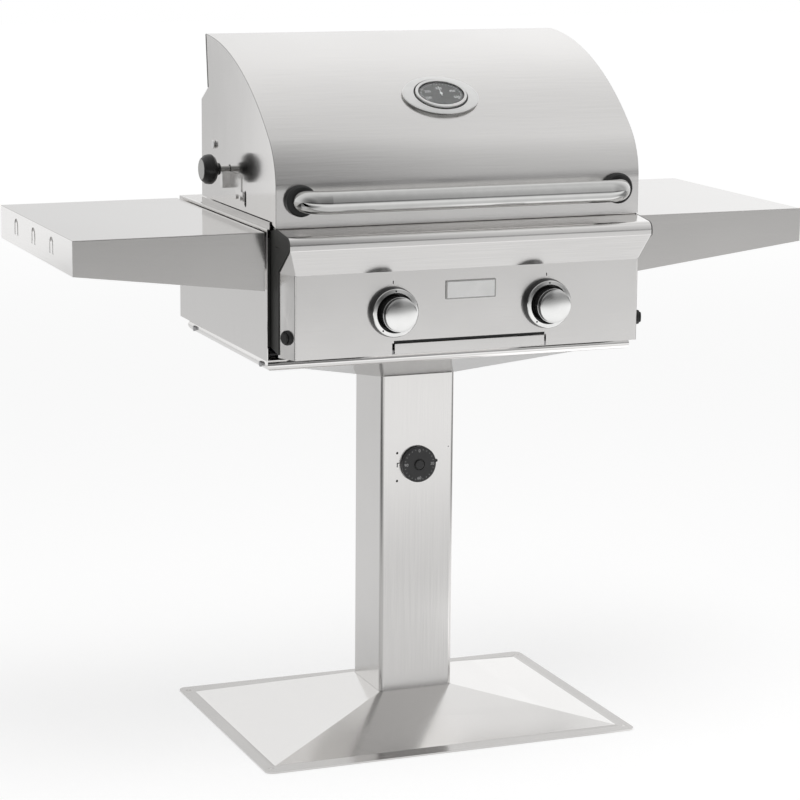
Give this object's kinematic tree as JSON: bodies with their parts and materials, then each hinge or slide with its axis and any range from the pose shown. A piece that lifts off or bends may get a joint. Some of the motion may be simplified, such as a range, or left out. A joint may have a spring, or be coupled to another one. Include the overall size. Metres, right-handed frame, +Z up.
{
  "type": "gas grill on a fixed pedestal",
  "caption": "Stainless gas grill with a domed hood, side shelves and a hand spit, on a square post with a pyramid foot that bolts to the ground.",
  "frame": {"origin": "centre of the floor plate, on the floor, on the axis of the post", "axes": "+X to the right seen from the cook's side, -Y towards the cook, +Z up; metres"},
  "size_m": [1.318, 0.61, 1.2143],
  "materials": {
    "steel": "brushed stainless sheet",
    "chrome": "polished",
    "zinc": "zinc plated",
    "dark_metal": "dark grey enamel",
    "brass": "plain brass",
    "black_plastic": "black phenolic",
    "black_rubber": "black",
    "ceramic": "glazed ceramic",
    "glass": "clear"
  },
  "bodies": {
    "root": {"base_plate": "steel", "post_tube": "steel", "post_end_plates": "zinc", "post_bolts": "zinc", "head_pan": "steel", "head_pan_bolts": "zinc", "gas_supply_pipe": "dark_metal", "gas_riser_pipe": "brass", "timer_valve": "brass", "housing_side_left": "steel", "housing_side_right": "steel", "housing_rear_panel": "steel", "rear_screen": "steel", "firebox": "steel", "hinge_bracket_left": "steel", "hinge_bracket_right": "steel", "hood_pivot_bolts": "chrome", "end_plate_left": "dark_metal", "end_plate_right": "dark_metal", "control_panel": "steel", "front_rail": "steel", "badge_plate": "chrome", "manifold_pipe": "dark_metal", "valve_left": "brass", "valve_right": "brass", "knob_bezel_left": "chrome", "knob_bezel_right": "chrome", "burner_left": "steel", "burner_right": "steel", "heat_plates": "steel", "cooking_grid_left": "steel", "cooking_grid_right": "steel", "igniter_electrodes": "ceramic", "igniter_module": "black_plastic", "button_sockets": "black_plastic", "tray_runners": "zinc", "shelf_left": "steel", "shelf_right": "steel", "shelf_brackets": "zinc"},
    "hood": {"hood_skin": "steel", "hood_side_left": "steel", "hood_side_right": "steel", "hood_handle": "chrome", "handle_gaskets": "black_rubber", "thermometer_bezel": "chrome", "thermometer_dial": "dark_metal", "thermometer_glass": "glass", "spit_brackets": "steel"},
    "needle": {"thermometer_needle": "chrome"},
    "spit": {"spit_rod": "chrome", "spit_handle": "black_plastic"},
    "left_stem": {"stem_left": "zinc"},
    "left_knob": {"knob_left": "chrome"},
    "right_stem": {"stem_right": "zinc"},
    "right_knob": {"knob_right": "chrome"},
    "timer": {"timer_dial": "black_plastic"},
    "ignition": {"ignition_button": "black_plastic"},
    "light": {"light_button": "black_plastic"},
    "slide_plate": {"instruction_plate": "steel"},
    "tray": {"drip_tray": "steel"}
  },
  "joints": [
    {"name": "hood_hinge", "type": "hinge", "parent": "root", "child": "hood", "pos_m": [0, 0.075, 1.028], "axis": [-1, 0, 0], "range_deg": [0, 90]},
    {"name": "needle_turn", "type": "hinge", "parent": "hood", "child": "needle", "pos_m": [0, -0.1495, 1.1197], "axis": [0, -0.5807, 0.8141], "range_deg": [-120, 120]},
    {"name": "spit_spin", "type": "hinge", "parent": "hood", "child": "spit", "pos_m": [0, -0.008, 0.995], "axis": [1, 0, 0], "continuous": true},
    {"name": "left_knob_push", "type": "slide", "parent": "root", "child": "left_stem", "axis": [0, 1, 0], "range_m": [0, 0.003], "stiffness_N_per_m": 1500},
    {"name": "left_knob_turn", "type": "hinge", "parent": "left_stem", "child": "left_knob", "pos_m": [-0.138, -0.3, 0.783], "axis": [0, 1, 0], "range_deg": [-270, 0]},
    {"name": "right_knob_push", "type": "slide", "parent": "root", "child": "right_stem", "axis": [0, 1, 0], "range_m": [0, 0.003], "stiffness_N_per_m": 1500},
    {"name": "right_knob_turn", "type": "hinge", "parent": "right_stem", "child": "right_knob", "pos_m": [0.138, -0.3, 0.783], "axis": [0, 1, 0], "range_deg": [-270, 0]},
    {"name": "timer_turn", "type": "hinge", "parent": "root", "child": "timer", "pos_m": [0, -0.075, 0.47], "axis": [0, 1, 0], "range_deg": [0, 300]},
    {"name": "ignition_push", "type": "slide", "parent": "root", "child": "ignition", "axis": [0.9171, 0.3987, 0], "range_m": [0, 0.0035], "stiffness_N_per_m": 800},
    {"name": "light_push", "type": "slide", "parent": "root", "child": "light", "axis": [-0.9171, 0.3987, 0], "range_m": [0, 0.0035], "stiffness_N_per_m": 800},
    {"name": "plate_slide", "type": "slide", "parent": "root", "child": "slide_plate", "axis": [0, -1, 0], "range_m": [0, 0.08]},
    {"name": "tray_slide", "type": "slide", "parent": "root", "child": "tray", "axis": [0, 1, 0], "range_m": [0, 0.3]}
  ]
}
